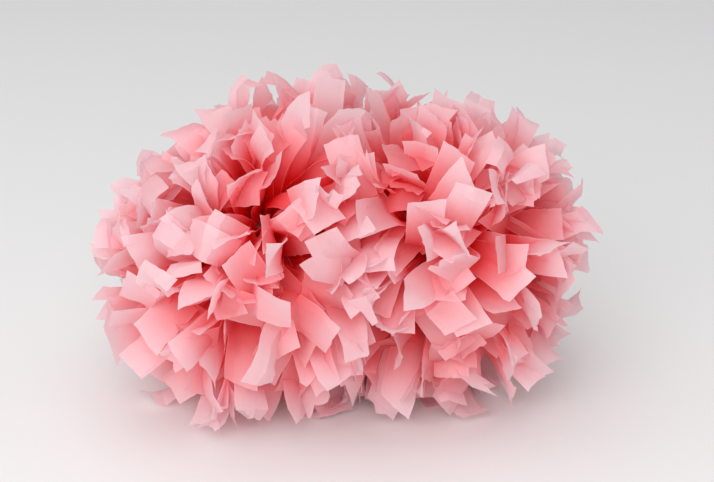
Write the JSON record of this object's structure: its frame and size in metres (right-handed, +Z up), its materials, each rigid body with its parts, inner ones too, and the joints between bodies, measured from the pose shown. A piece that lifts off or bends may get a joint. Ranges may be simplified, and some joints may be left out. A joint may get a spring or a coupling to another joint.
{
  "type": "cheer pom pom",
  "caption": "Cheerleading pom pom: two round tufts of cut pink plastic-film strands tied to the ends of a short baton grip.",
  "frame": {"origin": "centre of the bounding box's underside, where the pom rests, below the middle of the grip", "axes": "+X along the baton's axis, +Z up, +Y towards the back"},
  "size_m": [0.286, 0.194, 0.185],
  "materials": {
    "strand_film": "satin",
    "gathered_film": "satin",
    "tie_nylon": "satin",
    "baton_plastic": "satin",
    "cap_plastic": "gloss"
  },
  "bodies": {
    "handle": {"baton": "baton_plastic", "left_end_cap": "cap_plastic", "right_end_cap": "cap_plastic"},
    "left_wrap": {"left_top_front_spine": "gathered_film", "left_top_back_spine": "gathered_film", "left_bottom_front_spine": "gathered_film", "left_bottom_back_spine": "gathered_film", "left_inner_tie": "tie_nylon", "left_outer_tie": "tie_nylon"},
    "left_tuft": {"left_top_front_outer_strands": "strand_film", "left_top_front_side_strands": "strand_film", "left_top_front_inner_strands": "strand_film", "left_top_back_outer_strands": "strand_film", "left_top_back_side_strands": "strand_film", "left_top_back_inner_strands": "strand_film", "left_bottom_front_outer_strands": "strand_film", "left_bottom_front_side_strands": "strand_film", "left_bottom_front_inner_strands": "strand_film", "left_bottom_back_outer_strands": "strand_film", "left_bottom_back_side_strands": "strand_film", "left_bottom_back_inner_strands": "strand_film"},
    "right_wrap": {"right_top_front_spine": "gathered_film", "right_top_back_spine": "gathered_film", "right_bottom_front_spine": "gathered_film", "right_bottom_back_spine": "gathered_film", "right_inner_tie": "tie_nylon", "right_outer_tie": "tie_nylon"},
    "right_tuft": {"right_top_front_outer_strands": "strand_film", "right_top_front_side_strands": "strand_film", "right_top_front_inner_strands": "strand_film", "right_top_back_outer_strands": "strand_film", "right_top_back_side_strands": "strand_film", "right_top_back_inner_strands": "strand_film", "right_bottom_front_outer_strands": "strand_film", "right_bottom_front_side_strands": "strand_film", "right_bottom_front_inner_strands": "strand_film", "right_bottom_back_outer_strands": "strand_film", "right_bottom_back_side_strands": "strand_film", "right_bottom_back_inner_strands": "strand_film"}
  },
  "joints": [
    {"name": "left_twist", "type": "hinge", "parent": "handle", "child": "left_wrap", "pos_m": [-0.046, 0, 0.088], "axis": [1, 0, 0], "range_deg": [-20, 20], "stiffness_Nm_per_rad": 0.15},
    {"name": "left_nod", "type": "hinge", "parent": "left_wrap", "child": "left_tuft", "pos_m": [-0.046, 0, 0.088], "axis": [0, 1, 0], "range_deg": [-12, 12], "stiffness_Nm_per_rad": 0.2, "deforming": ["left_top_front_inner_strands", "left_top_back_inner_strands", "left_bottom_front_inner_strands", "left_bottom_back_inner_strands"]},
    {"name": "right_twist", "type": "hinge", "parent": "handle", "child": "right_wrap", "pos_m": [0.046, 0, 0.088], "axis": [1, 0, 0], "range_deg": [-20, 20], "stiffness_Nm_per_rad": 0.15},
    {"name": "right_nod", "type": "hinge", "parent": "right_wrap", "child": "right_tuft", "pos_m": [0.046, 0, 0.088], "axis": [0, 1, 0], "range_deg": [-12, 12], "stiffness_Nm_per_rad": 0.2, "deforming": ["right_top_front_inner_strands", "right_top_back_inner_strands", "right_bottom_front_inner_strands", "right_bottom_back_inner_strands"]}
  ]
}
